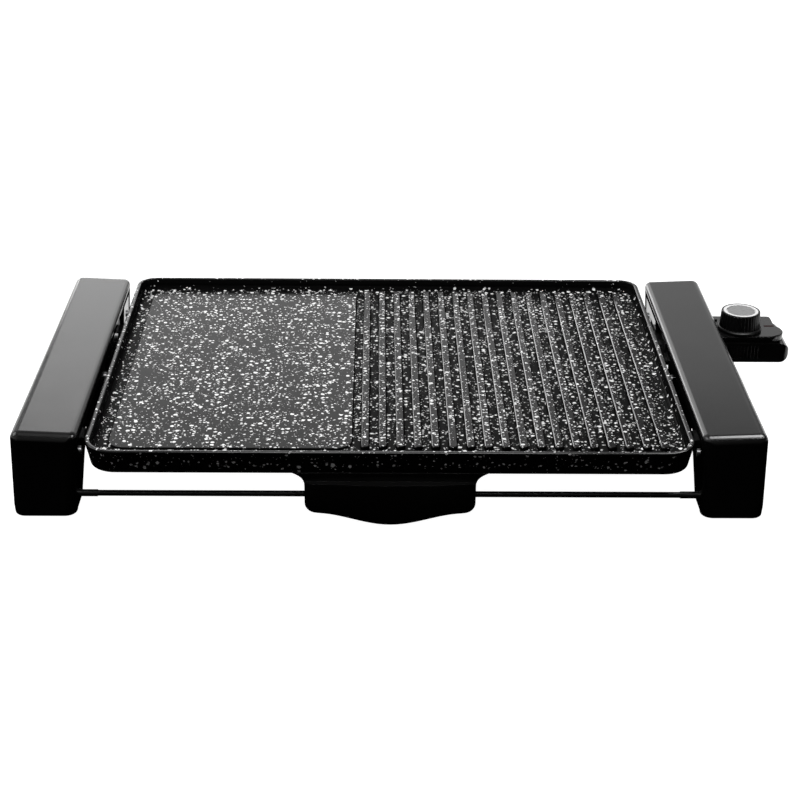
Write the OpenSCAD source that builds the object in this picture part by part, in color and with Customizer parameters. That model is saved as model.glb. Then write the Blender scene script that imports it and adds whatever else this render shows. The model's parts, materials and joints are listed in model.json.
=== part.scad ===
// Electric table griddle: a coated cast plate, half flat and half ribbed, held between two
// moulded stands, with a grease tray below and a plug-in thermostat on the right.
// Inside the modules X = 0 and Y = 0 are the plate's centre; placed() moves the whole
// object so that its origin is the bottom centre of its bounding box.

/* [Griddle plate] */
// Width of the plate over its rim
plate_w = 460; // [420:1:480]
// Depth of the plate over its rim
plate_d = 359; // [340:1:380]
// Height of the rim above the table
rim_z = 64.5; // [63:0.5:67]
// Height of the plate from rim to skirt
plate_h = 20; // [19:0.5:21]
// Depth of the grease channel below the rim
pan_depth = 9.2; // [8:0.2:10]
// Radius of the front corners
front_r = 24; // [20:1:32]
// Radius of the back corners
back_r = 17; // [16:1:24]
// Number of ribs in the grill zone
rib_count = 18; // [10:1:18]
// Distance between neighbouring ribs
rib_pitch = 13.4; // [12:0.1:13.5]
// Height of a rib above the channel
rib_h = 2.9; // [2:0.1:4]
// Height of the flat zone above the channel
flat_h = 1.3; // [1:0.1:2]
// Diameter of the drain hole
drain_d = 8; // [6:0.5:9]

/* [Stands] */
// Height of the stands above the table
stand_h = 71.5; // [69:0.5:74]
// Length of the stands, front to back
stand_d = 330; // [320:1:334]
// Distance from the middle to a stand's inner face
stand_in = 235.5; // [235:0.5:240]
// Width of a stand at its top
stand_w = 49.7; // [48:0.1:54]
// Angle by which a stand's top slopes down towards the plate
stand_tilt = 2.4; // [1:0.1:3]
// Draft of the stand's walls, in millimetres for each millimetre of height
stand_draft = 0.016; // [0.005:0.001:0.02]
// Height of the hand arch between the legs
arch_h = 38; // [32:1:40]
// Diameter of the cross rods
rod_d = 4.6; // [4:0.2:5]

/* [Grease tray] */
// Width of the tray's pull
pull_w = 128; // [120:1:134]
// Length of the tray, front to back
tray_d = 246; // [200:2:250]
// Height of the tray's floor above the table
tray_z = 19.5; // [19:0.5:22]

/* [Thermostat] */
// Distance from the middle to the housing's outer end
thermo_end = 354.5; // [350:0.5:360]
// Middle of the knob behind the plate's centre line
knob_y = 94; // [90:1:100]
// Height of the knob's top above the table
knob_z = 69; // [67:0.5:70]
// Radius of the knob at its top
knob_r = 17; // [16:0.2:18]
// Length of the sensor probe past the nose
probe_len = 88; // [60:2:90]

/* [Hidden] */
$fn = 64;
eps = 0.01;

coat = [0.09, 0.09, 0.095];
black = [0.05, 0.05, 0.055];
steel = [0.62, 0.63, 0.65];
brass = [0.78, 0.65, 0.36];
ceramic = [0.9, 0.88, 0.82];

// plate
skirt_z = rim_z - plate_h;
floor_z = rim_z - pan_depth;
floor_t = 4.3;
under_z = floor_z - floor_t;
wall_lean = 4;
rim_w = 3.6;
skirt_t = 3.2;
floor_join = 12;
flat_x0 = -215;
flat_x1 = -28.3;
zone_y0 = -157.5;
zone_y1 = 164;
rib_x0 = -18.9;
rib_w = 7;
drain_y = -plate_d / 2 + 13;

// screws
screw_r = 1.5;
head_r = 3;
head_h = 1.8;
pilot_r = 1.6;

// heating element, one tube lying under the plate's floor
tube_r = 3.5;
bend_r = 20;
tube_z = under_z - tube_r - 0.1;
pin_z = 39;
drop_r = (tube_z - pin_z) / 2;
pin_gap = 9.5;
term_y = knob_y + 3;
outer_x = 175;
outer_y = 128;
inner_x = -110;
inner_y = -20;
tube_end = 200;
pin_r = 2.4;
pin_tip = 266;
guard_x0 = 212;
guard_x1 = 244;
guard_w = 46;
guard_z0 = pin_z - 9;

// Clamp positions: [x, y, 1 if the tube runs along X there]
clamp_points = [[-120, -outer_y, 1], [120, -outer_y, 1], [-outer_x, 10, 0], [outer_x, -74, 0],
  [-50, inner_y, 1], [120, inner_y, 1], [inner_x, 30, 0]];
clamp_out = 8.5;
function clamp_dx(p) = p[2] == 1 ? 0 : clamp_out;
function clamp_dy(p) = p[2] == 1 ? clamp_out : 0;

// stands
foot_h = 0.8;
shell_t = 2.6;
edge_r = 6.5;
inner_edge_r = 4.5;
corner_r = 7;
inner_corner_r = 9;
base_r = 1.5;
leg_d = 36;
leg_lean = 18;
arch_r = 14;
cover_t = 2;
cover_gap = 0.3;
cover_in = 0.5;
cover_top = 58.5;
slot_top = 64.5;
border = 12;
notch_top = 50;
stand_mid = stand_in + stand_w / 2;
side_out = stand_in + stand_w;
top_mid_z = stand_h - (stand_w / 2 - edge_r) * sin(stand_tilt) - edge_r * (1 - cos(stand_tilt));

// Side wall of a stand at height z; s is -1 on the inner side and 1 on the outer side
function side_depth(z, s) = (top_mid_z + s * sin(stand_tilt) * stand_w / 2 - z)
  / (cos(stand_tilt) + s * stand_draft * sin(stand_tilt));
function side_wall(z, s) = stand_mid + s * cos(stand_tilt) * (stand_w / 2 - stand_draft * side_depth(z, s))
  + sin(stand_tilt) * side_depth(z, s);
function cover_face(z) = side_wall(z, -1) + cover_in;
function cover_back(z) = cover_face(z) + cover_t;

cover_screws_y = [-138, 0, 138];
cover_screw_z = 45;
cover_spot = 0.6;

// feet, each set in a pocket under a leg
foot = [stand_w - 14, leg_d - 15, 2.4];
foot_x = stand_mid + 2;
foot_y = stand_d / 2 - 20;
foot_r = 4;

// brackets and their windows in the inner covers: [side, y, window start, window end, top]
bracket_z = skirt_z - 2.4;
bracket_t = 1.5;
bracket_w = 18;
bracket_plate_x = 209;
bracket_stand_x = 256;
brackets = [[-1, 106, 78, 119, 63], [-1, -106, -118, -94, 50], [1, 48, 18, 93, 63], [1, -106, -118, -94, 50]];

// rods
rod_y = 150;
rod_z = 14.2;
rod_end = 247;
ferrule_x = 224;

// tray and rails
tray_x = pull_w / 2 - 3;
tray_h = 21.6;
tray_t = 1.2;
lip_w = 4;
lip_t = 1.2;
tray_y0 = -176.5;
lip_z = tray_z + tray_h - lip_t;
pull_top = 44;
neck_top = 48.5;
pull_side_z = 17.3;
pull_lobe = 8.3;
pull_bow = 5;
pull_y = -189;
rail_t = 1.2;
rail_x = tray_x + lip_w + 0.6;
rail_low = lip_z - 0.2 - rail_t;
rail_tabs = [-148, -70, 50];
rail_y1 = 66;
rail_screw_x = rail_x + 7;
rail_seat_z = under_z - 1.4;

// reflectors
refl_z = skirt_z - 2.5;
refl_t = 0.8;
refl_x0 = 80;
refl_x1 = 200;
refl_y = 160;
refl_posts = [[92, -140], [188, -140], [92, 70], [188, 70]];

// thermostat
case_x0 = 289;
case_y0 = 75;
case_y1 = 123.5;
case_z0 = 27.3;
case_z1 = 45;
deck_z = 51.5;
nose_x = 246;
nose_w = 34;
nose_z1 = 47.5;
nose_z0 = 30.5;
case_t = 1.8;
knob_x = 312;
knob_h = 16.7;
knob_base = knob_z - knob_h;
knob_low_r = knob_r + 0.9;
skirt_h = 2.6;
ring_r = 15.2;
cap_r = 12.5;
spindle_r = 3;
gland_x = 334;

origin_x = (thermo_end - side_wall(foot_h + base_r, 1)) / 2;
origin_y = (pull_y + plate_d / 2) / 2;

module placed() {
  translate([-origin_x, -origin_y, 0]) children();
}

// ---- shared shapes ----

function arc(x, y, r, from, to, steps) =
  [for (i = [0:steps]) let (a = from + (to - from) * i / steps) [x + r * cos(a), y + r * sin(a)]];

// Rectangle with one radius at the front corners and one at the back
module round_plan(w, d, rf, rb) {
  polygon([[rf - w / 2, -d / 2], [w / 2 - rf, -d / 2], [w / 2, rf - d / 2], [w / 2, d / 2 - rb],
    [w / 2 - rb, d / 2], [rb - w / 2, d / 2], [-w / 2, d / 2 - rb], [-w / 2, rf - d / 2]]);
  for (s = [-1, 1]) {
    translate([s * (w / 2 - rf), rf - d / 2]) circle(rf);
    translate([s * (w / 2 - rb), d / 2 - rb]) circle(rb);
  }
}

module round_rect(w, d, r) {
  round_plan(w, d, r, r);
}

// Runs a profile (x outwards, y up) round a rectangle with rounded corners
module round_sweep(w, d, rf, rb) {
  for (s = [0, 1]) mirror([s, 0, 0]) {
    translate([w / 2, d / 2 - rb, 0]) rotate([90, 0, 0]) linear_extrude(d - rf - rb) children();
    translate([w / 2 - rf, rf - d / 2, 0]) rotate([0, 0, -90])
      rotate_extrude(angle = 90) translate([rf, 0]) children();
    translate([w / 2 - rb, d / 2 - rb, 0])
      rotate_extrude(angle = 90) translate([rb, 0]) children();
  }
  translate([w / 2 - rf, -d / 2, 0]) rotate([90, 0, -90]) linear_extrude(w - 2 * rf) children();
  translate([rb - w / 2, d / 2, 0]) rotate([90, 0, 90]) linear_extrude(w - 2 * rb) children();
}

// Profile in the XZ plane, run along Y
module along_y(y0, y1) {
  translate([0, y1, 0]) rotate([90, 0, 0]) linear_extrude(y1 - y0) children();
}

// Profile in the YZ plane, run along X
module along_x(x0, x1) {
  translate([x0, 0, 0]) rotate([90, 0, 90]) linear_extrude(x1 - x0) children();
}

// Pan-head screw whose head's seat is at the origin and whose shank points up
module screw(len) {
  translate([0, 0, -head_h]) difference() {
    cylinder(r = head_r, h = head_h);
    for (a = [0, 90]) rotate(a) translate([-head_r * 0.6, -0.4, -eps]) cube([head_r * 1.2, 0.8, 0.9]);
  }
  cylinder(r = screw_r, h = len);
}

// ---- griddle plate ----

module wall_profile() {
  bottom_r = 2.4;
  polygon(concat(
    [[-wall_lean - skirt_t, skirt_z]],
    arc(-wall_lean - bottom_r + 0.5, skirt_z + bottom_r, bottom_r, -90, -12, 6),
    arc(-1.4, rim_z - 1.4, 1.4, -12, 90, 6),
    arc(-rim_w + 1.2, rim_z - 1.2, 1.2, 90, 180, 6),
    arc(-rim_w - 1.2 - 5, floor_z + 5, 5, 0, -90, 8),
    [[-floor_join, floor_z], [-floor_join, under_z], [-wall_lean - skirt_t - 1.6, under_z],
      [-wall_lean - skirt_t - 0.4, under_z - 1.6]]));
}

module rib_half() {
  polygon([[0, 0], [rib_w / 2, 0], [rib_w / 2 - 0.5, rib_h - 0.7], [rib_w / 2 - 1.1, rib_h], [0, rib_h]]);
}

module rib() {
  y0 = zone_y0 + rib_w / 2;
  y1 = zone_y1 - rib_w / 2;
  for (s = [0, 1]) mirror([s, 0, 0]) along_y(y0, y1) rib_half();
  translate([0, y0, 0]) rotate(180) rotate_extrude(angle = 180) rib_half();
  translate([0, y1, 0]) rotate_extrude(angle = 180) rib_half();
}

module flat_zone() {
  w = flat_x1 - flat_x0;
  d = zone_y1 - zone_y0;
  bevel = 1.1;
  translate([(flat_x0 + flat_x1) / 2, (zone_y0 + zone_y1) / 2, floor_z]) {
    linear_extrude(flat_h) round_rect(w - 2 * bevel, d - 2 * bevel, 14 - bevel);
    round_sweep(w, d, 14, 14) polygon([[-bevel, 0], [0, 0], [-bevel, flat_h]]);
  }
}

// Posts under the floor that take a screw each: [x, y, radius, height of the lower face]
posts = concat(
  [for (b = brackets) [b[0] * bracket_plate_x, b[1], 5, bracket_z + bracket_t]],
  [for (s = [-1, 1], p = refl_posts) [s * p[0], p[1], 4, refl_z + refl_t]],
  [for (s = [-1, 1], y = rail_tabs) [s * rail_screw_x, y, 4, rail_seat_z]],
  [for (p = clamp_points, s = [-1, 1]) [p[0] + s * clamp_dx(p), p[1] + s * clamp_dy(p), 3.4, tube_z]]);

module griddle_plate() {
  color(coat) difference() {
    union() {
      round_sweep(plate_w, plate_d, front_r, back_r) wall_profile();
      translate([0, 0, under_z]) linear_extrude(floor_t)
        round_plan(plate_w - 2 * floor_join, plate_d - 2 * floor_join,
          front_r - floor_join, back_r - floor_join);
      flat_zone();
      for (i = [0:rib_count - 1]) translate([rib_x0 + i * rib_pitch, 0, floor_z]) rib();
      translate([0, drain_y, skirt_z + 1]) cylinder(d = drain_d + 4, h = floor_t + 3);
      for (p = posts) translate([p[0], p[1], p[3]]) cylinder(r = p[2], h = under_z + 0.5 - p[3]);
    }
    for (p = posts) translate([p[0], p[1], p[3] - 1])
      cylinder(r = pilot_r, h = 1 + min(5.5, floor_z - 1.5 - p[3]));
    translate([0, drain_y, skirt_z - 1]) cylinder(d = drain_d, h = plate_h);
  }
}

// ---- heating element and terminals ----

// Quarter bend of tube in the XY plane, turning round [x, y]
module bend(x, y, from) {
  translate([x, y, tube_z]) rotate(from) rotate_extrude(angle = 90) translate([bend_r, 0]) circle(tube_r);
}

module run_x(x0, x1, y, z, r) {
  translate([x0, y, z]) rotate([0, 90, 0]) cylinder(r = r, h = x1 - x0);
}

module run_y(y0, y1, x) {
  translate([x, y0, tube_z]) rotate([-90, 0, 0]) cylinder(r = tube_r, h = y1 - y0);
}

// Two bends that take a tube end down from the plate to the pins' height
module drop(y) {
  translate([tube_end, y, tube_z - drop_r]) rotate([90, 0, 0])
    rotate_extrude(angle = 90) translate([drop_r, 0]) circle(tube_r * 0.6);
  translate([tube_end + 2 * drop_r, y, pin_z + drop_r]) rotate([90, 0, 0]) rotate(180)
    rotate_extrude(angle = 90) translate([drop_r, 0]) circle(tube_r * 0.6);
}

module heating_element() {
  far_y = term_y + pin_gap;
  near_y = term_y - pin_gap;
  color(steel) union() {
    run_x(-outer_x + bend_r, tube_end, far_y, tube_z, tube_r);
    bend(-outer_x + bend_r, far_y - bend_r, 90);
    run_y(-outer_y + bend_r, far_y - bend_r, -outer_x);
    bend(-outer_x + bend_r, -outer_y + bend_r, 180);
    run_x(-outer_x + bend_r, outer_x - bend_r, -outer_y, tube_z, tube_r);
    bend(outer_x - bend_r, -outer_y + bend_r, 270);
    run_y(-outer_y + bend_r, inner_y - bend_r, outer_x);
    bend(outer_x - bend_r, inner_y - bend_r, 0);
    run_x(inner_x + bend_r, outer_x - bend_r, inner_y, tube_z, tube_r);
    bend(inner_x + bend_r, inner_y + bend_r, 180);
    run_y(inner_y + bend_r, near_y - bend_r, inner_x);
    bend(inner_x + bend_r, near_y - bend_r, 90);
    run_x(inner_x + bend_r, tube_end, near_y, tube_z, tube_r);
    for (y = [near_y, far_y]) drop(y);
    for (y = [near_y, far_y]) run_x(tube_end + 2 * drop_r, guard_x0 + 4, y, pin_z, tube_r * 0.6);
  }
}

module clamp_at(p) {
  translate([p[0], p[1], 0]) rotate(p[2] == 1 ? 90 : 0) children();
}

module element_clamps() {
  strap_t = 1;
  half = clamp_out + 3.5;
  color(steel) for (p = clamp_points) clamp_at(p) difference() {
    along_y(-5, 5) difference() {
      union() {
        translate([-half, tube_z - strap_t]) square([2 * half, strap_t]);
        translate([0, tube_z]) circle(tube_r + 0.1 + strap_t);
      }
      translate([0, tube_z]) circle(tube_r + 0.1);
      translate([-half, tube_z]) square([2 * half, 10]);
    }
    for (s = [-1, 1]) translate([s * clamp_out, 0, tube_z - 5]) cylinder(r = pilot_r, h = 10);
  }
}

module clamp_screws() {
  color(steel) for (p = clamp_points) clamp_at(p) for (s = [-1, 1])
    translate([s * clamp_out, 0, tube_z - 1]) screw(4.5);
}

module terminal_pins() {
  color(steel) for (s = [-1, 1]) {
    run_x(guard_x0 + 4.2, pin_tip - pin_r, term_y + s * pin_gap, pin_z, pin_r);
    translate([pin_tip - pin_r, term_y + s * pin_gap, pin_z]) sphere(pin_r);
  }
}

module terminal_insulators() {
  color(ceramic) for (s = [-1, 1]) difference() {
    union() {
      run_x(guard_x0 + 1.4, guard_x0 + 10, term_y + s * pin_gap, pin_z, 3.8);
      run_x(guard_x0 - 2, guard_x0 + 2, term_y + s * pin_gap, pin_z, 3.3);
    }
    run_x(guard_x0 - 3, guard_x0 + 4.1, term_y + s * pin_gap, pin_z, tube_r * 0.6 + 0.1);
    run_x(guard_x0 + 4, guard_x0 + 11, term_y + s * pin_gap, pin_z, pin_r + 0.05);
  }
}

// Aluminium block under the plate with the blind hole that the sensor probe slides into
module probe_block() {
  hole_r = 2.6;
  color(steel) difference() {
    translate([140, term_y - 4, pin_z - 5]) cube([70, 8, under_z - 0.1 - pin_z + 5]);
    run_x(152, 211, term_y, pin_z, hole_r);
  }
}

// Sheet-metal box round the pins, open towards the thermostat
module terminal_guard() {
  sheet = 1.2;
  top = skirt_z - 0.4;
  half = guard_w / 2;
  color(steel) difference() {
    union() {
      along_x(guard_x0, guard_x1) difference() {
        translate([term_y - half, guard_z0]) square([guard_w, top - guard_z0]);
        translate([term_y - half + sheet, guard_z0 + sheet])
          square([guard_w - 2 * sheet, top - guard_z0 - 2 * sheet]);
      }
      translate([guard_x0, term_y - half, guard_z0]) cube([sheet, guard_w, top - guard_z0]);
    }
    for (s = [-1, 1]) run_x(guard_x0 - 1, guard_x0 + 3, term_y + s * pin_gap, pin_z, 3.4);
    run_x(guard_x0 - 1, guard_x0 + 3, term_y, pin_z, 3.2);
  }
}

// ---- heat reflectors ----

module reflector(side) {
  slots = 9;
  color([0.75, 0.75, 0.77]) difference() {
    translate([side > 0 ? refl_x0 : -refl_x1, -refl_y, refl_z])
      cube([refl_x1 - refl_x0, 2 * refl_y - 20, refl_t]);
    for (p = refl_posts) translate([side * p[0], p[1], refl_z - 1]) cylinder(r = pilot_r, h = 3);
    for (i = [0:slots - 1]) translate([side * 140 - 30, -110 + i * 18, refl_z - 1]) cube([60, 4, 3]);
    if (side > 0) translate([136, term_y - 32, refl_z - 1]) cube([80, 80, 3]);
  }
}

module left_reflector() reflector(-1);
module right_reflector() reflector(1);

module reflector_screws() {
  color(steel) for (s = [-1, 1], p = refl_posts) translate([s * p[0], p[1], refl_z]) screw(5.5);
}

// ---- stands ----

// Section of a stand's rim, outwards from the axis of a corner of radius rc: top edge and drafted wall
module rim_profile(rc, r, h) {
  polygon(concat([[-rc, -h], [-stand_draft * h, -h]], arc(-r, -r, r, 0, 90, 10), [[-rc, 0]]));
}

// Section of the rounded lower edge, widening upwards so that it trims nothing above it
module base_profile(rc, r, h) {
  polygon(concat([[-rc, h], [-rc, 0]], arc(-r, r, r, -90, 0, 5), [[6, h]]));
}

// Solid block with rounded corners whose rim is the given section
module rimmed_block(w, d, r, z0, h) {
  round_sweep(w, d, r, r) children();
  translate([r - w / 2 - 0.5, r - d / 2 - 0.5, z0]) cube([w - 2 * r + 1, d - 2 * r + 1, h]);
}

module arch_side(top, reach) {
  b = reach - leg_lean;
  polygon(concat([[-reach, -2], [reach, -2]],
    arc(b - arch_r * 0.6, top - arch_r, arch_r, 20, 90, 8),
    arc(arch_r * 0.6 - b, top - arch_r, arch_r, 90, 160, 8)));
}

// Outside of a stand, grown by g: wide edge radii all round, and tighter ones on the inner side
module stand_block(g) {
  h = stand_h + 6;
  past = 12;
  x0 = side_wall(foot_h + base_r, -1);
  x1 = side_wall(foot_h + base_r, 1);
  d = stand_d - 2 * stand_draft * stand_h;
  rc = corner_r + g;
  rci = inner_corner_r + g;
  intersection() {
    translate([stand_mid, 0, top_mid_z]) rotate([0, -stand_tilt, 0]) translate([0, 0, g]) intersection() {
      translate([-past / 2, 0, 0]) rimmed_block(stand_w + past + 2 * g, stand_d + 2 * g, rc, -h, h)
        rim_profile(rc, edge_r + g, h);
      translate([past / 2, 0, 0]) rimmed_block(stand_w + past + 2 * g, stand_d + 2 * g, rci, -h, h)
        rim_profile(rci, inner_edge_r + g, h);
    }
    translate([(x0 + x1) / 2, 0, foot_h - g])
      rimmed_block(x1 - x0 + 2 * g, d + 2 * g, rci, 0, h) base_profile(rci, max(base_r + g, 0.3), h);
  }
}

// Post inside a stand that takes a screw from below
module stand_post(x, y) {
  translate([x, y, bracket_z + bracket_t]) difference() {
    cylinder(r = 4.5, h = stand_h - 2.6 - bracket_z - bracket_t);
    translate([0, 0, -eps]) cylinder(r = pilot_r, h = 9);
  }
}

// Boss inside a stand that holds the inner cover's screw
module cover_boss(y) {
  x0 = cover_back(cover_screw_z) + cover_gap;
  difference() {
    run_x(x0, side_out - shell_t / 2, y, cover_screw_z, 3.6);
    run_x(x0 - 1, x0 + 7, y, cover_screw_z, pilot_r);
  }
}

module feet_plan(g) {
  for (s = [-1, 1]) translate([foot_x, s * foot_y]) round_rect(foot[0] + 2 * g, foot[1] + 2 * g, foot_r + g);
}

module stand(side) {
  color(black) difference() {
    union() {
      difference() {
        stand_block(0);
        stand_block(-shell_t);
        // open inner side: the cover closes it up to a slot under the top
        translate([stand_in - 20, border - stand_d / 2, -1])
          cube([side_wall(0, -1) - stand_in + shell_t + 20.6, stand_d - 2 * border, slot_top + 1]);
      }
      for (b = brackets) if (b[0] == side) stand_post(bracket_stand_x, b[1]);
      for (y = cover_screws_y) cover_boss(y);
    }
    translate([0, 0, -1]) linear_extrude(1 + foot[2] + 0.1) feet_plan(0.1);
    along_x(200, 320) arch_side(arch_h, stand_d / 2 - leg_d);
    if (side > 0) along_x(200, 320) thermo_notch();
  }
}

// Extra height over the rear of the arch where the thermostat plugs in
module thermo_notch() {
  translate([term_y - guard_w / 2 - 2, 10]) square([guard_w + 4, notch_top - 10]);
}

module left_stand() mirror([1, 0, 0]) stand(-1);
module right_stand() stand(1);

// Panel that closes the inner side of a stand and leans with it
module inner_cover(side) {
  half = stand_d / 2 - border - cover_gap;
  low = foot_h + 0.6;
  color(black) difference() {
    along_y(-half, half) polygon([[cover_face(low), low], [cover_back(low), low],
      [cover_back(cover_top), cover_top], [cover_face(cover_top), cover_top]]);
    along_x(200, 320) arch_side(arch_h, stand_d / 2 - leg_d);
    if (side > 0) along_x(200, 320) thermo_notch();
    for (b = brackets) if (b[0] == side)
      translate([stand_in - 2, b[2], bracket_z - 4]) cube([10, b[3] - b[2], b[4] - bracket_z + 4]);
    for (y = [-rod_y, rod_y]) run_x(stand_in - 2, stand_in + 10, y, rod_z, rod_d / 2 + 0.1);
    for (y = cover_screws_y) {
      run_x(stand_in - 2, stand_in + 10, y, cover_screw_z, pilot_r);
      run_x(stand_in - 2, cover_face(cover_screw_z) + cover_spot, y, cover_screw_z, head_r + 0.3);
    }
  }
}

module left_inner_cover() mirror([1, 0, 0]) inner_cover(-1);
module right_inner_cover() inner_cover(1);

module cover_screws() {
  seat_x = cover_face(cover_screw_z) + cover_spot;
  color(steel) for (m = [0, 1], y = cover_screws_y) mirror([m, 0, 0])
    translate([seat_x, y, cover_screw_z]) rotate([0, 90, 0]) screw(7);
}

module feet() {
  color([0.03, 0.03, 0.03]) for (m = [0, 1]) mirror([m, 0, 0]) linear_extrude(foot[2]) feet_plan(0);
}

// ---- brackets and rods ----

module plate_brackets() {
  hook_x = 240.5;
  color(steel) for (b = brackets) mirror([b[0] < 0 ? 1 : 0, 0, 0]) translate([0, b[1], 0]) difference() {
    union() {
      translate([bracket_plate_x - 6, -bracket_w / 2, bracket_z])
        cube([bracket_stand_x - bracket_plate_x + 12, bracket_w, bracket_t]);
      if (b[4] > 60) {
        translate([hook_x, -bracket_w / 2, bracket_z]) cube([bracket_t, bracket_w, 18]);
        translate([hook_x - 3, -bracket_w / 2, bracket_z + 16.5]) cube([4, bracket_w, bracket_t]);
      }
    }
    for (x = [bracket_plate_x, bracket_stand_x])
      translate([x, 0, bracket_z - 1]) cylinder(r = pilot_r, h = 4);
  }
}

module bracket_screws() {
  color(steel) for (b = brackets, x = [bracket_plate_x, bracket_stand_x])
    translate([b[0] * x, b[1], bracket_z]) screw(6);
}

module rod(y) {
  color(black) run_x(-rod_end, rod_end, y, rod_z, rod_d / 2);
}

module front_rod() rod(-rod_y);
module rear_rod() rod(rod_y);

module at_rod_ends() {
  for (m = [0, 1], y = [-rod_y, rod_y]) mirror([m, 0, 0])
    translate([0, y, rod_z]) rotate([0, 90, 0]) children();
}

module rod_ferrules() {
  color(black) at_rod_ends() translate([0, 0, ferrule_x]) difference() {
    cylinder(d = rod_d + 0.9, h = cover_face(rod_z) - 0.2 - ferrule_x);
    translate([0, 0, -1]) cylinder(d = rod_d + 0.1, h = 20);
  }
}

module rod_nuts() {
  color(steel) at_rod_ends() translate([0, 0, cover_back(rod_z) + cover_gap]) difference() {
    cylinder(r = 4.6, h = 3.6, $fn = 6);
    translate([0, 0, -1]) cylinder(d = rod_d + 0.1, h = 10);
  }
}

// ---- grease tray ----

module tray_rail() {
  web_top = tube_z - tube_r - 0.6;
  color(steel) difference() {
    union() {
      along_y(tray_y0 + 14, rail_y1) {
        translate([rail_x, rail_low]) square([rail_t, web_top - rail_low]);
        translate([rail_x - 3.6, rail_low]) square([3.6 + rail_t, rail_t]);
      }
      for (y = rail_tabs) {
        translate([rail_x, y - 7, rail_low]) cube([rail_t, 14, rail_seat_z - 0.1 - rail_low]);
        translate([rail_x, y - 7, rail_seat_z - 0.1 - rail_t]) cube([12, 14, rail_t]);
      }
    }
    for (y = rail_tabs) translate([rail_screw_x, y, rail_seat_z - 4]) cylinder(r = pilot_r, h = 5);
  }
}

module right_tray_rail() tray_rail();
module left_tray_rail() mirror([1, 0, 0]) tray_rail();

module rail_screws() {
  color(steel) for (s = [-1, 1], y = rail_tabs)
    translate([s * rail_screw_x, y, rail_seat_z - 0.1 - rail_t]) screw(5);
}

module drip_tray() {
  r = 10;
  mid_y = tray_y0 + tray_d / 2;
  color(coat) difference() {
    translate([0, mid_y, 0]) {
      translate([0, 0, tray_z]) linear_extrude(tray_h) round_rect(2 * tray_x, tray_d, r);
      translate([0, 8, lip_z]) linear_extrude(lip_t)
        round_rect(2 * (tray_x + lip_w), tray_d - 16, 6);
    }
    translate([0, mid_y, tray_z + tray_t]) linear_extrude(tray_h)
      round_rect(2 * (tray_x - tray_t), tray_d - 2 * tray_t, r - tray_t);
    for (s = [-1, 1]) translate([s * pull_screw_x, tray_y0 - 1, pull_screw_z]) rotate([-90, 0, 0])
      cylinder(r = pilot_r, h = 4);
  }
}

pull_screw_x = 34;
pull_screw_z = 32;

// Front view of the pull, with a shallow lobe hanging from its lower edge
module pull_front(g) {
  half = pull_w / 2 - g;
  lobe_half = 54;
  corner = 8;
  low = pull_side_z + g;
  polygon(concat(
    [[-half, 41.5 - g], [-half, low + corner]],
    arc(corner - half, low + corner, corner, 180, 262, 6),
    [for (x = [-lobe_half:4.5:lobe_half]) [x, low - 0.2 - pull_lobe * (1 + cos(180 * x / lobe_half)) / 2]],
    arc(half - corner, low + corner, corner, -82, 0, 6),
    [[half, 41.5 - g]]));
}

// Plan of the pull: its front face bows gently forwards
module pull_plan(g) {
  half = pull_w / 2 + 9;
  bow_r = (half * half + pull_bow * pull_bow) / (2 * pull_bow);
  intersection() {
    translate([0, pull_y + g + bow_r]) circle(bow_r, $fn = 360);
    translate([-half, pull_y]) square([2 * half, tray_y0 - 0.1 - pull_y - g]);
  }
}

// Front view of the neck, widening upwards in a hollow curve
module pull_neck() {
  half = pull_w / 2;
  side = [[0, 34], [0.3, 40], [0.9, 42], [1.7, 43.4], [2.8, 44.7], [4.4, 46], [6.6, 47.3],
    [9.2, neck_top]];
  polygon(concat([for (p = side) [half + p[0], p[1]]],
    [for (i = [len(side) - 1:-1:0]) [-half - side[i][0], side[i][1]]]));
}

module tray_pull() {
  skin = 2.6;
  color(black) difference() {
    union() {
      intersection() {
        along_y(pull_y - 1, tray_y0 - 0.1) pull_front(0);
        linear_extrude(60) pull_plan(0);
      }
      intersection() {
        along_y(-182, tray_y0 - 0.1) pull_neck();
        translate([-100, -200, 0]) cube([200, 100, pull_top]);
      }
      along_y(-182, -180.4) pull_neck();
    }
    // hollow behind the front skin, open below for the fingers
    difference() {
      intersection() {
        translate([0, 0, -1]) linear_extrude(39.5) pull_plan(skin);
        translate([skin - pull_w / 2, -200, -2]) cube([pull_w - 2 * skin, 40, 60]);
      }
      for (s = [-1, 1]) translate([s * pull_screw_x, tray_y0 + 2, pull_screw_z]) rotate([90, 0, 0])
        cylinder(r = 4, h = 30);
    }
    for (s = [-1, 1]) translate([s * pull_screw_x, tray_y0 + 1, pull_screw_z]) rotate([90, 0, 0])
      cylinder(r = pilot_r, h = 9);
  }
}

module pull_screws() {
  color(steel) for (s = [-1, 1])
    translate([s * pull_screw_x, tray_y0 + tray_t, pull_screw_z]) rotate([90, 0, 0]) screw(7.5);
}

// ---- thermostat ----

nose_y0 = term_y - nose_w / 2;
case_mid_y = (case_y0 + case_y1) / 2;
case_r = (case_z1 - case_z0) / 2;
screw_spots = [[297, 80.5], [297, 117], [340, 116.5]];

// Side view of the lower housing, with a full round at its outer end
module case_side(g) {
  r = case_r - g;
  polygon(concat([[case_x0 + g, case_z1 - g], [case_x0 + g, case_z0 + g]],
    arc(thermo_end - case_r, case_z0 + case_r, r, -90, 90, 14)));
}

module case_plan(g, r) {
  translate([(case_x0 + thermo_end) / 2, case_mid_y])
    round_rect(thermo_end - case_x0 - 2 * g, case_y1 - case_y0 - 2 * g, r);
}

module case_block(g) {
  intersection() {
    along_y(case_y0 - 5, case_y1 + 5) case_side(g);
    linear_extrude(80) case_plan(g, 6 - g);
  }
}

module nose_block(g) {
  translate([nose_x + g, nose_y0 + g, nose_z0 + g])
    cube([case_x0 - nose_x + 4 - g, nose_w - 2 * g, nose_z1 - nose_z0 - 2 * g]);
}

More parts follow.
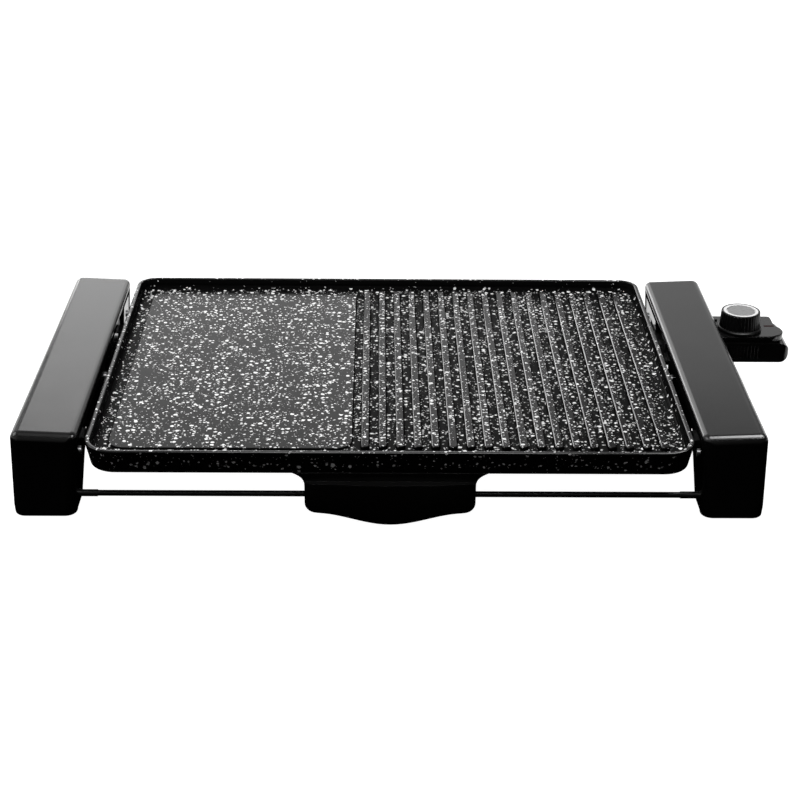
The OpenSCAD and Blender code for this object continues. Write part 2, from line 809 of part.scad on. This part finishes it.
module lower_housing() {
  grips = 12;
  grip_pitch = 3;
  color(black) difference() {
    union() {
      difference() {
        case_block(0);
        case_block(case_t);
        translate([case_x0 + case_t, case_y0 + case_t, case_z1 - case_t - 1])
          cube([thermo_end - case_r - case_x0 - case_t, case_y1 - case_y0 - 2 * case_t, 10]);
      }
      intersection() {
        difference() {
          nose_block(0);
          nose_block(case_t);
        }
        cube([case_x0 + case_t, 300, 100]);
      }
      for (p = screw_spots) translate([p[0], p[1], case_z0 + 1]) cylinder(r = 3.8, h = case_z1 - case_z0 - 1);
    }
    // way from the nose into the case, below the deck
    translate([case_x0 - 1, nose_y0 + case_t, nose_z0 + case_t])
      cube([case_t + 2, nose_w - 2 * case_t, case_z1 - nose_z0 - case_t - 1]);
    for (p = screw_spots) translate([p[0], p[1], case_z0 - 1]) {
      cylinder(r = head_r + 0.2, h = 1 + head_h + 0.4);
      cylinder(r = pilot_r, h = 30);
    }
    for (s = [-1, 1]) run_x(nose_x - 1, nose_x + case_t + 1, term_y + s * pin_gap, pin_z, pin_r + 0.5);
    run_x(nose_x - 1, nose_x + case_t + 1, term_y, pin_z, 2.6);
    for (i = [0:grips - 1]) translate([294 + i * grip_pitch, case_y0 - 0.5, case_z0 + 3])
      cylinder(r = 1.2, h = case_z1 - case_z0 - 5.5);
    translate([gland_x, case_y1 - 5, pin_z - 3]) rotate([-90, 0, 0]) cylinder(r = 5.1, h = 20);
  }
}

// Plan of the deck under the knob: rounded front corner and a round lobe at its outer side
module deck_plan(g) {
  x1 = 345 - g;
  y0 = case_y0 + 0.4 + g;
  y1 = case_y1 - g;
  r = 9;
  translate([case_x0 + g, y0]) square([x1 - r - case_x0 - g, y1 - y0]);
  translate([x1 - r - 2, y0 + r]) square([r + 2, y1 - y0 - r - 2.5]);
  translate([x1 - r, y0 + r]) circle(r);
  translate([x1 - 2.5, y1 - 2.5]) circle(2.5);
  translate([x1 - r - 2, y1 - 5]) square([r - 0.5, 5]);
  translate([335.5, 91]) circle(14.5 - g);
}

module upper_housing() {
  seam = 0.6;
  step_z = case_z1 + 2.8;
  color(black) difference() {
    union() {
      translate([0, 0, case_z1 + 0.05]) linear_extrude(step_z - seam - case_z1) deck_plan(0.5);
      translate([0, 0, step_z - seam - 0.5]) linear_extrude(2 * seam) deck_plan(1.2);
      translate([0, 0, step_z]) linear_extrude(deck_z - step_z - 0.8) deck_plan(0);
      translate([0, 0, deck_z - 0.9]) linear_extrude(0.9) deck_plan(0.8);
      translate([292.5, 112, deck_z - 1]) cube([3, 3, 2.4]);
    }
    translate([0, 0, case_z1 - 1]) linear_extrude(deck_z - case_t - case_z1 + 1) deck_plan(2.6);
    translate([knob_x, knob_y, 0]) cylinder(r = spindle_r + 0.05, h = 100);
    translate([335.2, 98.6, deck_z - 4]) cube([8.6, 3.1, 10]);
    translate([case_x0 - 1, nose_y0 - 0.3, case_z1 - 1])
      cube([case_t + 1.5, nose_w + 0.6, nose_z1 - case_z1 + 1.3]);
  }
  color(black) for (p = screw_spots) translate([p[0], p[1], case_z1 + 0.05]) difference() {
    cylinder(r = 3.4, h = deck_z - case_z1 - 1);
    translate([0, 0, -eps]) cylinder(r = pilot_r, h = 4.2);
  }
}

module housing_screws() {
  color(steel) for (p = screw_spots) translate([p[0], p[1], case_z0 + head_h + 0.2]) screw(18.5);
}

module contact_sockets() {
  color(brass) for (s = [-1, 1]) difference() {
    run_x(nose_x + case_t + 0.2, 286, term_y + s * pin_gap, pin_z, 4.2);
    run_x(nose_x, 270, term_y + s * pin_gap, pin_z, pin_r + 0.08);
  }
}

module sensor_probe() {
  tip = nose_x - probe_len;
  color(steel) {
    translate([tip + 2.4, term_y, pin_z]) sphere(2.4);
    run_x(tip + 2.4, 288, term_y, pin_z, 2.5);
  }
}

module switch_base() {
  color(ceramic) difference() {
    translate([301.5, 84, case_z0 + case_t + 0.1]) cube([22, 26, 5]);
    translate([knob_x, knob_y, 20]) cylinder(r = spindle_r + 0.1, h = 30);
  }
}

module contact_blades() {
  base_top = case_z0 + case_t + 5.2;
  color(brass) for (s = [-1, 1]) {
    y = term_y + s * pin_gap - 2.5;
    translate([286.1, y, pin_z - 0.4]) cube([14.5, 5, 0.8]);
    translate([299.8, y, base_top]) cube([0.8, 5, pin_z - base_top]);
    translate([299.8, y, base_top]) cube([8, 5, 0.8]);
  }
}

module terminal_block() {
  color(ceramic) translate([326, 100, case_z0 + case_t + 0.1]) difference() {
    cube([16, 10, 7]);
    for (x = [4, 12]) translate([x, 5, 2]) cylinder(r = 1.6, h = 10);
  }
}

module pilot_lens() {
  color([0.35, 0.03, 0.03]) translate([335.4, 98.8, deck_z - 1.7]) cube([8.2, 2.7, 1.8]);
}

module pilot_lamp() {
  color([0.9, 0.6, 0.5]) translate([339.5, 100.1, 0]) {
    translate([0, 0, deck_z - 9.5]) cylinder(r = 1.6, h = 6);
    translate([0, 0, deck_z - 3.5]) sphere(1.6);
  }
}

// Bush in the back wall that the mains lead leaves by
module cord_gland() {
  bore_r = 3.6;
  color(black) translate([gland_x, case_y1, pin_z - 3]) rotate([-90, 0, 0]) difference() {
    union() {
      translate([0, 0, -4]) cylinder(r = 5, h = 8);
      translate([0, 0, 0.1]) cylinder(r = 6.4, h = 1.6);
      translate([0, 0, 1.6]) cylinder(r1 = 6.4, r2 = 5.2, h = 3.4);
    }
    translate([0, 0, -5]) cylinder(r = bore_r, h = 20);
  }
}

// ---- knob ----

module at_knob(z) {
  translate([knob_x, knob_y, z]) children();
}

// Grooves down the knob's side, leaning in with it
module flutes() {
  count = 36;
  depth = 0.45;
  r = 1.2;
  lean = atan((knob_low_r - knob_r) / (knob_h - skirt_h));
  for (i = [0:count - 1]) rotate((i + 0.5) * 360 / count)
    translate([knob_low_r + r - depth, 0, skirt_h]) rotate([0, -lean, 0]) cylinder(r = r, h = knob_h);
}

module knob() {
  hub_r = 6;
  skin = 2.2;
  top = knob_h - 1.3;
  color(black) at_knob(knob_base) difference() {
    rotate_extrude() polygon([[0, 0], [19.3, 0], [19.3, 1.4], [18.8, 2.1], [knob_low_r, skirt_h],
      [knob_r, knob_h - 0.8], [knob_r - 0.3, knob_h - 0.2], [knob_r - 0.8, knob_h], [0, knob_h]]);
    flutes();
    translate([0, 0, top]) cylinder(r = ring_r + 0.2, h = 5);
    difference() {
      translate([0, 0, -1]) cylinder(r = 15.4, h = top - skin + 1);
      translate([0, 0, -2]) cylinder(r = hub_r, h = top + 4);
    }
    translate([0, 0, -1]) cylinder(r = spindle_r + 0.02, h = 11);
  }
}

module knob_ring() {
  color("white") at_knob(knob_z - 1.25) difference() {
    cylinder(r = ring_r, h = 1.1);
    translate([0, 0, -1]) cylinder(r = cap_r + 0.1, h = 4);
  }
}

module knob_cap() {
  color(steel) at_knob(knob_z - 1.25) rotate_extrude()
    polygon([[0, 0], [cap_r, 0], [cap_r, 0.6], [cap_r - 0.6, 0.9], [0, 0.9]]);
}

module knob_spindle() {
  color(steel) at_knob(case_z0 + case_t + 0.4)
    cylinder(r = spindle_r, h = knob_base + 9.5 - case_z0 - case_t);
}

module switch_cam() {
  color(brass) at_knob(case_z0 + case_t + 6.5) difference() {
    union() {
      cylinder(r = 7, h = 3);
      translate([3, 0, 0]) cylinder(r = 5.5, h = 3);
    }
    translate([0, 0, -1]) cylinder(r = spindle_r + 0.02, h = 6);
  }
}

placed() griddle_plate();
placed() heating_element();
placed() element_clamps();
placed() clamp_screws();
placed() terminal_pins();
placed() terminal_insulators();
placed() probe_block();
placed() terminal_guard();
placed() left_reflector();
placed() right_reflector();
placed() reflector_screws();
placed() left_stand();
placed() right_stand();
placed() left_inner_cover();
placed() right_inner_cover();
placed() cover_screws();
placed() plate_brackets();
placed() bracket_screws();
placed() feet();
placed() front_rod();
placed() rear_rod();
placed() rod_ferrules();
placed() rod_nuts();
placed() left_tray_rail();
placed() right_tray_rail();
placed() rail_screws();
placed() drip_tray();
placed() tray_pull();
placed() pull_screws();
placed() lower_housing();
placed() upper_housing();
placed() housing_screws();
placed() contact_sockets();
placed() sensor_probe();
placed() switch_base();
placed() contact_blades();
placed() terminal_block();
placed() pilot_lens();
placed() pilot_lamp();
placed() cord_gland();
placed() knob();
placed() knob_ring();
placed() knob_cap();
placed() knob_spindle();
placed() switch_cam();
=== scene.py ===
import json
import math

import bpy
from mathutils import Matrix, Vector


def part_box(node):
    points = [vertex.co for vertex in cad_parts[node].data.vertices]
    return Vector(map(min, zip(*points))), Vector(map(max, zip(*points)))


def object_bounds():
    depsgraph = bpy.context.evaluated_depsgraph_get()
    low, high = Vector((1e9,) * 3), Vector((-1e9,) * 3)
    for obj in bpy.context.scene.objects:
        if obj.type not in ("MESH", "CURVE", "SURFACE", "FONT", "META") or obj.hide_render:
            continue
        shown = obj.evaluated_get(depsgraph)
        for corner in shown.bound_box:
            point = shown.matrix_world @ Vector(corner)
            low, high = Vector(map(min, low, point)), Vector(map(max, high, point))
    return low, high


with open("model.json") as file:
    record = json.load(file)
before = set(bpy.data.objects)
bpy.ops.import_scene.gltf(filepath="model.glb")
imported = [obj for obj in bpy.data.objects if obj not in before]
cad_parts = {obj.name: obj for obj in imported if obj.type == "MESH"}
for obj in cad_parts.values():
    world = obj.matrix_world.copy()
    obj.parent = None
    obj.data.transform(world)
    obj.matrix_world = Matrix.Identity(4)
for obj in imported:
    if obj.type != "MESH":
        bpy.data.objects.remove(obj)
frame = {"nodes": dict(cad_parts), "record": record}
NODES = frame["nodes"]
MM = 0.001


def as_lists(box):
    return [list(corner) for corner in box]


CAD_BOX = as_lists(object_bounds())

# Places on the plate, in the frame's millimetres and worked out from its box: the levels of its
# cooking side, and the sides of the field of ribs.
PLATE_LOW, PLATE_HIGH = ([side / MM for side in corner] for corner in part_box("griddle_plate"))
RIM_TOP = PLATE_HIGH[2]
CHANNEL_FLOOR = RIM_TOP - 9.2
RIB_TOP = CHANNEL_FLOOR + 2.9
FRONT_EDGE = PLATE_LOW[1]
RIBS_LEFT = PLATE_HIGH[0] - 253.2
RIBS_RIGHT = PLATE_HIGH[0] - 16.2
RIBS_BACK = PLATE_HIGH[1] - 14.2

# The three sizes of fleck: the cell that holds one (mm), the part of the cells in use, the radius
# of the smallest and what the largest adds (in cells), and the faintest and the brightest tone.
FLECK_SIZES = (
    (4.8, 1.0, 0.13, 0.24, 0.8, 1.0),
    (2.7, 0.74, 0.14, 0.27, 0.4, 1.0),
    (1.5, 0.3, 0.14, 0.28, 0.08, 0.6),
)

# The floor, in metres: how far it reaches, and how far it lies below the feet so as not to touch them.
FLOOR_REACH = 12
FLOOR_DROP = 0.3 * MM


# ---- node helpers ----

class Shader:
    """Short names for building one node tree."""

    def __init__(self, tree):
        self.tree = tree

    def node(self, kind, values=None, **settings):
        made = self.tree.nodes.new("ShaderNode" + kind)
        for key, value in settings.items():
            setattr(made, key, value)
        for key, value in (values or {}).items():
            self.feed(made.inputs[key], value)
        return made

    def feed(self, socket, value):
        if isinstance(value, bpy.types.NodeSocket):
            self.tree.links.new(value, socket)
        else:
            socket.default_value = value

    def math(self, operation, *values):
        return self.node("Math", dict(enumerate(values)), operation=operation).outputs[0]

    def product(self, first, *others):
        for other in others:
            first = self.math("MULTIPLY", first, other)
        return first

    def highest(self, first, *others):
        for other in others:
            first = self.math("MAXIMUM", first, other)
        return first

    def vector_math(self, operation, *values, **named):
        made = self.node("VectorMath", {**dict(enumerate(values)), **named}, operation=operation)
        return made.outputs[0]

    def ramp(self, value, low, high, to_low=0.0, to_high=1.0):
        """Straight ramp between two values, level on both sides."""
        made = self.node("MapRange", {"Value": value, "From Min": low, "From Max": high,
                                      "To Min": to_low, "To Max": to_high})
        return made.outputs["Result"]

    def ramp_mm(self, place, low, high, to_low=0.0, to_high=1.0):
        """The same along one axis of the frame, between two places in millimetres."""
        return self.ramp(place, low * MM, high * MM, to_low, to_high)

    def mix(self, factor, a, b):
        made = self.node("Mix", {"Factor": factor}, data_type="RGBA")
        self.feed(made.inputs[6], a)
        self.feed(made.inputs[7], b)
        return made.outputs[2]

    def place(self, scale=(1, 1, 1)):
        coords = self.node("TexCoord").outputs["Object"]
        return self.node("Mapping", {"Vector": coords, "Scale": scale}).outputs[0]

    def noise(self, size_mm, detail=2.0, vector=None, out="Fac", rough=0.5):
        made = self.node("TexNoise", {"Vector": vector or self.place(), "Scale": 1 / (size_mm * MM),
                                      "Detail": detail, "Roughness": rough})
        return made.outputs[out]

    def split(self, vector):
        return self.node("SeparateXYZ", {0: vector}).outputs

    def bump(self, height, depth_mm, strength):
        made = self.node("Bump", {"Height": height, "Distance": depth_mm * MM, "Strength": strength})
        return made.outputs[0]


def grey(value):
    return (value, value, value, 1.0)


def new_material(name, base, roughness, metallic=0.0, ior=1.5):
    """A material with its shader, and the helper for its tree."""
    made = bpy.data.materials.new(name)
    made.use_nodes = True
    shader = made.node_tree.nodes["Principled BSDF"]
    shader.inputs["Base Color"].default_value = base
    shader.inputs["Roughness"].default_value = roughness
    shader.inputs["Metallic"].default_value = metallic
    shader.inputs["IOR"].default_value = ior
    return made, shader, Shader(made.node_tree)


# ---- the plate's coating ----

def wobbly_place(s):
    """Place in the object, shifted about by a fine noise so that the flecks aren't round."""
    wobble = s.noise(1.8, 2.0, out="Color")
    shift = s.vector_math("SUBTRACT", wobble, (0.5, 0.5, 0.5))
    shift = s.vector_math("SCALE", shift, Scale=1.9 * MM)
    return s.vector_math("ADD", s.place(), shift)


def fleck_layer(s, vector, cell_mm, share, radius, spread):
    """Specks scattered at random, 1 inside a speck and 0 outside, and a random tone for each."""
    cells = s.node("TexVoronoi", {"Vector": vector, "Scale": 1 / (cell_mm * MM), "Randomness": 1.0},
                   voronoi_dimensions="3D", feature="F1")
    chance_a, chance_b, tone = s.node("SeparateColor", {"Color": cells.outputs["Color"]}).outputs
    size = s.math("MULTIPLY_ADD", chance_a, spread, radius)
    size = s.product(size, s.math("GREATER_THAN", share, chance_b))
    edge = s.math("SUBTRACT", size, cells.outputs["Distance"])
    return s.ramp(edge, -0.01, 0.04), tone


def fleck_share(s, along, high, up):
    """How much of the spray lands: most on level faces, little on walls other than the front skirt."""
    crowd = s.ramp(s.noise(12, 2.0), 0.35, 0.65, 0.45, 1.0)
    walls = s.ramp_mm(along, FRONT_EDGE + 0.75, FRONT_EDGE + 3.75, 0.6, 0.12)
    landed = s.highest(walls, s.ramp(up, 0.6, 0.99))
    below_rim = s.ramp_mm(high, RIM_TOP - 3.5, RIM_TOP - 1, 1.0, 0.6)
    return s.product(crowd, s.product(landed, below_rim))


def sprayed_flecks(s, share, up):
    """White flecks of three sizes, dimmed on the walls as painted shade."""
    vector = wobbly_place(s)
    white = 0.0
    for cell_mm, part, radius, spread, faintest, brightest in FLECK_SIZES:
        speck, tone = fleck_layer(s, vector, cell_mm, s.product(share, part), radius, spread)
        white = s.highest(white, s.product(speck, s.ramp(tone, 0, 1, faintest, brightest)))
    # Painted shade: flecks are dimmed on faces that tilt away from the light above.
    return s.product(white, s.ramp(up, 0.3, 0.95, 0.75, 1.0))


def rib_edge_highlight(s, across, along, high, rightward, up):
    """Painted highlight mask on the upper left edges of the ribs: 1 on an edge and 0 away from it."""
    edge = s.product(s.ramp(up, 0.35, 0.6), s.ramp(rightward, -0.3, -0.5))
    edge = s.product(edge, s.ramp_mm(high, RIB_TOP - 1, RIB_TOP - 0.7))
    for spot, outside, inside in ((across, RIBS_LEFT - 0.5, RIBS_LEFT + 0.5),
                                  (across, RIBS_RIGHT + 0.5, RIBS_RIGHT - 0.5),
                                  (along, RIBS_BACK + 0.5, RIBS_BACK - 0.5)):
        edge = s.product(edge, s.ramp_mm(spot, outside, inside))
    return edge


def gloss_with_painted_light(s, raised, edge, high, up, mottle):
    """Gloss of the coat, carrying painted shade and painted highlights: cut low in the channel, on
    walls and in creases as painted shade; higher on raised faces; raised on rib edges and along the rim
    as painted highlights.
    """
    # Painted shade: gloss is cut low in the channel between the ribs and on the walls.
    gloss = s.product(s.ramp(raised, 0, 1, 0.015, 0.075), s.ramp(up, 0.86, 0.995, 0.05, 1.0))
    # Painted shade: ambient occlusion cuts the gloss in creases, so they read as dark lines.
    crease_shade = s.node("AmbientOcclusion", {"Distance": 2.4 * MM}, samples=6, only_local=True)
    gloss = s.product(gloss, s.ramp(crease_shade.outputs["AO"], 0.6, 0.86))
    # Painted highlight: gloss raised in a band along the top of the rim to give a bright line.
    rim_highlight = s.ramp_mm(high, RIM_TOP - 1.1, RIM_TOP - 0.3)
    gloss = s.highest(gloss, s.product(edge, 0.4), s.product(rim_highlight, 0.36))
    return s.product(gloss, s.ramp(mottle, 0.35, 0.65, 0.75, 1.25))


def coating(name):
    """Black non-stick coat, smoother on the raised faces, sprayed with white flecks from above; its
    gloss and its tilted normals on rib edges carry painted shade and painted highlights.
    """
    made, shader, s = new_material(name, grey(0.003), 0.3)
    rightward, _, up = s.split(s.node("NewGeometry").outputs["Normal"])
    across, along, high = s.split(s.place())
    white = sprayed_flecks(s, fleck_share(s, along, high, up), up)
    raised = s.ramp_mm(high, CHANNEL_FLOOR + 0.7, CHANNEL_FLOOR + 1.1)
    # edge: mask for the painted highlight on the ribs' left edges.
    edge = rib_edge_highlight(s, across, along, high, rightward, up)
    mottle = s.noise(1.2, 3.0, rough=0.65)
    s.feed(shader.inputs["Base Color"], s.mix(white, grey(0.003), grey(0.9)))
    s.feed(shader.inputs["Specular IOR Level"], gloss_with_painted_light(s, raised, edge, high, up, mottle))
    s.feed(shader.inputs["Roughness"], s.ramp(raised, 0, 1, 0.4, 0.2))
    # Painted highlight: the shading normal is tilted up on the ribs' left edges so they catch the
    # bright light behind.
    highlight_tilt = s.node("CombineXYZ", {2: s.product(edge, 0.13)}).outputs[0]
    turned = s.vector_math("ADD", s.bump(mottle, 0.03, 0.5), highlight_tilt)
    s.feed(shader.inputs["Normal"], s.vector_math("NORMALIZE", turned))
    return made


# ---- other materials ----

def moulded(name, base, smoothest, roughest, ior):
    """Injection-moulded black plastic with a fine grain and faint handling marks."""
    made, shader, s = new_material(name, grey(base), (smoothest + roughest) / 2, ior=ior)
    grain = s.noise(0.35, 2.0)
    cloud = s.noise(38, 3.0)
    s.feed(shader.inputs["Roughness"], s.ramp(cloud, 0.3, 0.7, smoothest, roughest))
    s.feed(shader.inputs["Base Color"], s.mix(cloud, grey(base * 0.8), grey(base * 1.3)))
    s.feed(shader.inputs["Normal"], s.bump(grain, 0.006, 0.5))
    return made


def enamel(name, base, roughness):
    """Baked black enamel with a slight orange-peel surface."""
    made, shader, s = new_material(name, grey(base), roughness, ior=1.35)
    peel = s.noise(1.6, 2.0)
    rough = s.ramp(s.noise(9, 2.0), 0.3, 0.7, roughness - 0.06, roughness + 0.08)
    s.feed(shader.inputs["Roughness"], rough)
    s.feed(shader.inputs["Normal"], s.bump(peel, 0.02, 0.5))
    return made


def metal(name, base, roughness, stretch=(1, 14, 1), size_mm=0.25):
    """Bare metal with drawn or rolled lines, slightly uneven in tone."""
    made, shader, s = new_material(name, base, roughness, metallic=1.0)
    lines = s.noise(size_mm, 2.0, vector=s.place(tuple(1 / k for k in stretch)))
    stain = s.noise(11, 3.0)
    dark = tuple(0.72 * c for c in base[:3]) + (1.0,)
    s.feed(shader.inputs["Base Color"], s.mix(s.ramp(stain, 0.35, 0.7), base, dark))
    s.feed(shader.inputs["Roughness"], s.ramp(lines, 0.3, 0.7, roughness - 0.08, roughness + 0.1))
    s.feed(shader.inputs["Normal"], s.bump(lines, 0.01, 0.4))
    return made


def brushed_cap(name):
    """Brushed aluminium disc in the knob, with grain running one way."""
    made, shader, s = new_material(name, grey(0.5), 0.34, metallic=1.0)
    lines = s.noise(0.22, 3.0, vector=s.place((0.06, 1, 1)))
    s.feed(shader.inputs["Base Color"], s.mix(s.ramp(lines, 0.35, 0.65), grey(0.32), grey(0.62)))
    s.feed(shader.inputs["Roughness"], s.ramp(lines, 0.3, 0.7, 0.28, 0.42))
    s.feed(shader.inputs["Normal"], s.bump(lines, 0.01, 0.5))
    return made


def porcelain(name, base):
    """Unglazed ceramic with fine pores."""
    made, shader, s = new_material(name, base, 0.6)
    pores = s.noise(0.6, 3.0)
    dark = tuple(0.85 * c for c in base[:3]) + (1.0,)
    s.feed(shader.inputs["Base Color"], s.mix(s.ramp(pores, 0.4, 0.7), base, dark))
    s.feed(shader.inputs["Normal"], s.bump(pores, 0.03, 0.6))
    return made


def white_ring(name):
    """Smooth white plastic of the ring in the knob."""
    made, shader, s = new_material(name, grey(0.8), 0.35)
    s.feed(shader.inputs["Base Color"], s.mix(s.noise(3, 2.0), grey(0.74), grey(0.86)))
    s.feed(shader.inputs["Normal"], s.bump(s.noise(0.4, 2.0), 0.005, 0.4))
    return made


def rubber(name):
    """Dull black rubber of the feet, with a coarse grain."""
    made, shader, s = new_material(name, grey(0.02), 0.8)
    grain = s.noise(0.4, 3.0)
    s.feed(shader.inputs["Base Color"], s.mix(s.noise(6, 3.0), grey(0.014), grey(0.035)))
    s.feed(shader.inputs["Normal"], s.bump(grain, 0.04, 0.6))
    return made


def tinted_lens(name):
    """Dark red ribbed lens over the pilot lamp."""
    dark, light = (0.014, 0.001, 0.001, 1), (0.03, 0.002, 0.002, 1)
    made, shader, s = new_material(name, (0.02, 0.001, 0.001, 1), 0.3, ior=1.1)
    lines = s.node("TexWave", {"Vector": s.place(), "Scale": 320.0, "Distortion": 0.4},
                   bands_direction="X")
    s.feed(shader.inputs["Normal"], s.bump(lines.outputs["Fac"], 0.08, 0.6))
    s.feed(shader.inputs["Base Color"], s.mix(s.noise(2, 2.0), dark, light))
    return made


def lamp_glass(name):
    """Orange glass of the pilot lamp, unlit."""
    dark, light = (0.8, 0.3, 0.16, 1), (0.9, 0.5, 0.35, 1)
    made, shader, s = new_material(name, (0.8, 0.35, 0.2, 1), 0.12)
    s.feed(shader.inputs["Base Color"], s.mix(s.noise(1.2, 2.0), dark, light))
    return made


# The record's material slots, each with the function that makes it and the settings for that.
MAKERS = {
    "coating": (coating, {}),
    "stand_plastic": (moulded, dict(base=0.003, smoothest=0.17, roughest=0.22, ior=1.5)),
    "housing_plastic": (moulded, dict(base=0.004, smoothest=0.18, roughest=0.26, ior=1.5)),
    "knob_plastic": (moulded, dict(base=0.003, smoothest=0.26, roughest=0.34, ior=1.33)),
    "pull_plastic": (moulded, dict(base=0.003, smoothest=0.12, roughest=0.17, ior=1.5)),
    "rod_enamel": (enamel, dict(base=0.004, roughness=0.35)),
    "tray_enamel": (enamel, dict(base=0.01, roughness=0.3)),
    "steel": (metal, dict(base=(0.62, 0.62, 0.63, 1), roughness=0.34)),
    "reflector_sheet": (metal, dict(base=(0.72, 0.72, 0.73, 1), roughness=0.28, stretch=(1, 30, 1))),
    "tube_steel": (metal, dict(base=(0.3, 0.28, 0.27, 1), roughness=0.42)),
    "pin_chrome": (metal, dict(base=(0.8, 0.8, 0.8, 1), roughness=0.14, stretch=(10, 1, 1))),
    "cast_alloy": (metal, dict(base=(0.5, 0.5, 0.5, 1), roughness=0.5, stretch=(1, 1, 1), size_mm=0.8)),
    "brass": (metal, dict(base=(0.72, 0.53, 0.24, 1), roughness=0.3)),
    "ceramic": (porcelain, dict(base=(0.82, 0.78, 0.7, 1))),
    "ring_white": (white_ring, {}),
    "cap_brushed": (brushed_cap, {}),
    "lens_red": (tinted_lens, {}),
    "lamp_glass": (lamp_glass, {}),
    "foot_rubber": (rubber, {}),
}


# ---- dressing the CAD nodes ----

def dress_nodes():
    """Gives every CAD node the material of its slot in the record."""
    made = {slot: maker(slot, **settings) for slot, (maker, settings) in MAKERS.items()}
    for part in frame["record"]["subparts"]:
        item = NODES[part["node"]]
        for slot in item.material_slots:
            slot.material = made[part["material_slot"]]


def round_edges(node, width_mm):
    """Small radius along the sharp edges of a moulded part, once its doubled points are welded."""
    item = NODES[node]
    weld = item.modifiers.new("weld", "WELD")
    weld.merge_threshold = 0.002 * MM
    bevel = item.modifiers.new("edge", "BEVEL")
    bevel.width = width_mm * MM
    bevel.segments = 3
    bevel.limit_method = "ANGLE"
    bevel.angle_limit = math.radians(32)
    bevel.harden_normals = True


# ---- studio ----

def camera():
    """Long lens in front of the griddle and 25 degrees above it."""
    data = bpy.data.cameras.new("camera")
    data.lens = 78.64
    data.sensor_width = 36
    data.clip_end = 60
    eye = bpy.data.objects.new("camera", data)
    place = Matrix.Translation((-0.04585, -1.33275, 0.649))
    turn = Matrix.Rotation(math.radians(-0.925), 4, "Z")
    tilt = Matrix.Rotation(math.radians(90 - 25.05), 4, "X")
    roll = Matrix.Rotation(math.radians(0.65), 4, "Z")
    eye.matrix_world = place @ turn @ tilt @ roll
    bpy.context.scene.collection.objects.link(eye)
    bpy.context.scene.camera = eye


def studio_sky():
    """White to the camera; in reflections a dim room, lighter at the back and left, dark below."""
    world = bpy.data.worlds.new("studio_sky")
    world.use_nodes = True
    s = Shader(world.node_tree)
    background = world.node_tree.nodes["Background"]
    right, back, up = s.split(s.node("TexCoord").outputs["Generated"])
    glow = s.math("ADD", s.ramp(back, -0.3, 0.9, 0.05, 0.25), s.ramp(right, -1, 0.1, 0.5, 0.0))
    glow = s.product(glow, s.ramp(up, -0.02, 0.04))
    seen = s.node("LightPath").outputs["Is Camera Ray"]
    s.feed(background.inputs["Strength"], s.highest(glow, seen))
    background.inputs["Color"].default_value = grey(1.0)
    bpy.context.scene.world = world


def floor_part(name, low, high, in_reflections=False):
    """Rectangle of the pale floor between two corners. It throws no light on the griddle."""
    made, shader, s = new_material(name, grey(0.3), 0.9, ior=1.1)
    s.feed(shader.inputs["Base Color"], s.mix(s.noise(300, 2.0), grey(0.29), grey(0.31)))
    shader.inputs["Emission Color"].default_value = grey(1.0)
    shader.inputs["Emission Strength"].default_value = 1.0
    bpy.ops.mesh.primitive_grid_add(x_subdivisions=8, y_subdivisions=8, size=1)
    part = bpy.context.object
    part.name = name
    part.scale = (high[0] - low[0], high[1] - low[1], 1)
    part.location = ((low[0] + high[0]) / 2, (low[1] + high[1]) / 2, -FLOOR_DROP)
    part.data.materials.append(made)
    part.visible_diffuse = False
    part.visible_glossy = in_reflections


def pale_floor():
    """The floor in four parts: only those behind and to the right of the griddle are reflected.

    They meet just right of the griddle, just behind it, and 160 mm further forward.
    """
    far = FLOOR_REACH
    right = CAD_BOX[1][0] + 0.04
    back = CAD_BOX[1][1] + 0.006
    front = back - 0.16
    floor_part("floor_front", (-far, -far), (far, front))
    floor_part("floor_middle", (-far, front), (right, back))
    floor_part("floor_right", (right, front), (far, back), in_reflections=True)
    floor_part("floor_back", (-far, back), (far, far), in_reflections=True)


def softbox(name, at, aim, size, radiance, in_reflections=True, lights_up=True):
    """Rectangular light whose surface has the given brightness."""
    data = bpy.data.lights.new(name, "AREA")
    data.shape = "RECTANGLE"
    data.size, data.size_y = size
    data.energy = radiance * math.pi * size[0] * size[1]
    lamp = bpy.data.objects.new(name, data)
    lamp.location = at
    lamp.rotation_euler = (Vector(at) - Vector(aim)).to_track_quat("Z", "Y").to_euler()
    lamp.visible_glossy = in_reflections
    lamp.visible_diffuse = lights_up
    bpy.context.scene.collection.objects.link(lamp)


def studio_lights():
    """Softboxes behind, above and at the left, and two in front that show only as highlights."""
    softbox("back_key", at=(-0.19, 1.6, 0.62), aim=(-0.05, 0, 0.07), size=(0.97, 0.8), radiance=1.65)
    softbox("back_low", at=(-0.6, 1.6, 0.21), aim=(0, 0, 0.07), size=(0.62, 0.34), radiance=4)
    softbox("back_fill", at=(0.6, 1.6, 0.5), aim=(0.1, 0, 0.07), size=(0.6, 0.8), radiance=0.5)
    softbox("top", at=(0, -0.5, 2.2), aim=(0, 0, 0), size=(1.6, 1.0), radiance=0.45)
    softbox("left_side", at=(-1.7, 0.2, 1.3), aim=(0, 0, 0.05), size=(1.2, 1.0), radiance=3)
    softbox("top_fill", at=(-0.3, 0.1, 2.4), aim=(0, 0, 0), size=(2, 2), radiance=4.2,
            in_reflections=False)
    softbox("thermostat_strip", at=(0.38, -0.08, 0.42), aim=(0.29, 0.08, 0.05), size=(0.3, 0.26),
            radiance=12, lights_up=False)
    softbox("pull_strip", at=(-0.03, -0.42, 0.5), aim=(-0.03, -0.18, 0.04), size=(0.4, 0.26),
            radiance=8, lights_up=False)


camera()
studio_sky()
pale_floor()
studio_lights()
bpy.context.scene.view_settings.view_transform = "Standard"
dress_nodes()
round_edges("tray_pull", 1.4)
round_edges("upper_housing", 0.7)
